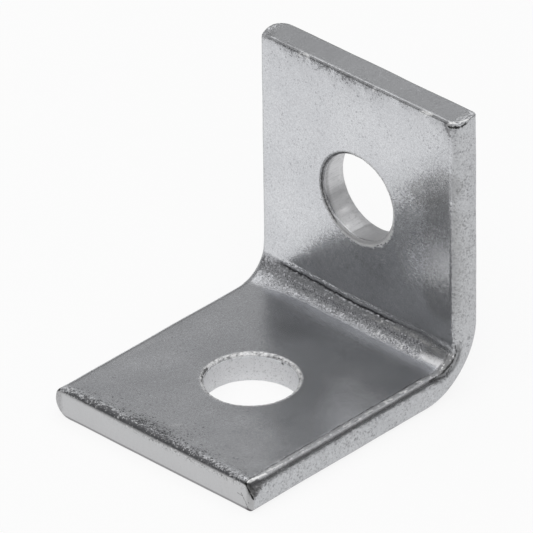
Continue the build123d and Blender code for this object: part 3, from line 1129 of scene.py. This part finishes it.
    # Painted glints on the upright's hole wall and painted highlights on the burrs
    coat(mark("glint") * step(streak, -0.5, 0.3) + burr * 0.6, 0.97, 0.97, 0.98)
    # Painted shade of the pit in the foot's hole
    coat(web.hump(web.line(spot, *PIT_SHADE), PIT_SHADE_WIDTH), 0.02)

    # The share that doesn't mirror, and the single flaws and lines of painted shade, shadow and highlight,
    # each of them a line that wanders a little
    frosted = bore * 0.5 + frayed * 0.85 + burr * 0.4 + blobs * 0.5 + end_highlight * 0.5
    frosted += rim * (1.0 - split) * 0.8 + lit_edge * 0.9 + inner_rim_shade + torn * 0.85 + pitted * 0.3
    frosted = frosted.maths("MINIMUM", 0.9)
    ragged = 0.4
    jagged = web.node("ShaderNodeTexNoise", None, Vector=spot, Scale=2.5, output="Color")
    jagged = web.vector("MULTIPLY_ADD", jagged, (ragged,) * 3, spot)
    for row in FLAWS_AND_PAINTED_LIGHT.strip().splitlines():
        *ends, width, bright, strength = map(float, row.split())
        start, finish = ([number + ragged / 2 for number in point] for point in (ends[:3], ends[3:]))
        away = web.line(jagged, start, finish)
        flaw_or_painted_light = step(web.hump(away, width) + speck * 0.35 + flake * 0.25, 0.25, 0.65) * strength
        coat(flaw_or_painted_light, bright)
        if bright > 0.5:
            frosted = frosted.maths("MAXIMUM", flaw_or_painted_light * 0.7)

    rough = 0.205 + cloud * 0.02 + bore * 0.35 + side * 0.18 + end * 0.06 + torn * 0.08 + scuff * 0.05
    rough += low_down * 0.055 + between * 0.15 + pitted * 0.15
    steep = 0.045 - low_down * 0.025 + pitted * 0.45 + (between + lip) * 0.4 + (rim + torn) * 0.2 + side * 0.5
    height = web.facets(spot, 0.22, steep) + speck * 0.003 + web.noise(spot, 0.9, 25.0) * 0.003
    height += streak * 0.006 * (bore + end + side * 0.5) + flake * 0.01 * torn
    bump = web.node("ShaderNodeBump", None, Strength=1.0, Distance=MILLIMETRE, Height=height)
    sockets = {"Base Color": tone, "Metallic": 1.0 - frosted, "Roughness": rough, "Normal": bump}
    surface = web.node("ShaderNodeBsdfPrincipled", None, **sockets)
    web.node("ShaderNodeOutputMaterial", None, surface)
    return material


# Studio


def studio_floor():
    """A plain white floor, well beyond what any view takes in."""
    mesh = bpy.data.meshes.new("studio_floor")
    reach = 6.0
    corners = [(-reach, -reach, 0), (reach, -reach, 0), (reach, reach, 0), (-reach, reach, 0)]
    mesh.from_pydata(corners, [], [(0, 1, 2, 3)])
    floor = in_scene("studio_floor", mesh)
    material = bpy.data.materials.new("white_floor")
    web = blank_web(material)
    lit = web.node("ShaderNodeBsdfDiffuse", None, Color=(0.95, 0.95, 0.95, 1))
    white = web.node("ShaderNodeEmission", None, Color=(1.0, 1.0, 1.0, 1), Strength=1.0)
    seen = web.node("ShaderNodeLightPath", None, output="Is Camera Ray")
    mirrored = web.node("ShaderNodeLightPath", None, output="Is Glossy Ray")
    shown = web.node("ShaderNodeMixShader", None, seen * 0.85 + mirrored * 0.8, lit, white)
    web.node("ShaderNodeOutputMaterial", None, shown)
    mesh.materials.append(material)


def studio_walls():
    """World light: pale overhead, grey at the back left, and darker low down and at the front left."""
    world = bpy.data.worlds.new("studio")
    web = blank_web(world)
    bpy.context.scene.world = world
    way = web.node("ShaderNodeTexCoord", None, output="Generated")
    east, north, up = (web.node("ShaderNodeSeparateXYZ", None, way, output=axis) for axis in "XYZ")
    back_left = web.step(north - east, 0.2, 1.0) * web.step(up, 0.1, 0.4)
    overhead = web.step(up, 0.63, 0.8)
    key = web.step(east * 0.6 - north * 0.62 + up * 0.5, 0.78, 0.95)
    level = 0.14 + back_left * 0.195 + overhead * 1.15 + key * 0.8
    background = web.node("ShaderNodeBackground", None, Strength=level, Color=(1.0, 1.0, 1.0, 1.0))
    web.node("ShaderNodeOutputWorld", None, background)


def photo_camera():
    """The camera at the photograph's place: a long lens, 1.9 m away and 32 degrees up."""
    turn, lift, tilt = (math.radians(angle) for angle in (43.83, 32.0, -0.72))
    distance, sideways, higher = 1.9, -0.0004, 0.00074
    aimed_at = Vector((0, -0.00065, 0.024))
    photo_width, focal_length = 533, 12952
    back = Vector((math.sin(turn) * math.cos(lift), -math.cos(turn) * math.cos(lift), math.sin(lift)))
    level = Vector((math.cos(turn), math.sin(turn), 0))
    upright = back.cross(level)
    right = level * math.cos(tilt) + upright * math.sin(tilt)
    up = upright * math.cos(tilt) - level * math.sin(tilt)
    place = aimed_at + back * distance - right * sideways - up * higher
    data = bpy.data.cameras.new("photo_camera")
    data.lens = data.sensor_width * focal_length / photo_width
    data.clip_start, data.clip_end = 0.1, 100
    camera = in_scene("photo_camera", data)
    camera.matrix_world = Matrix.Translation(place) @ Matrix((right, up, back)).transposed().to_4x4()
    bpy.context.scene.camera = camera


bracket = plain_bracket()
zinc = zinc_plate()
work_surface(bracket, zinc)
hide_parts("angle_bracket")
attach(bracket, "root")

studio_floor()
studio_walls()
photo_camera()
bpy.context.scene.view_settings.view_transform = "Standard"
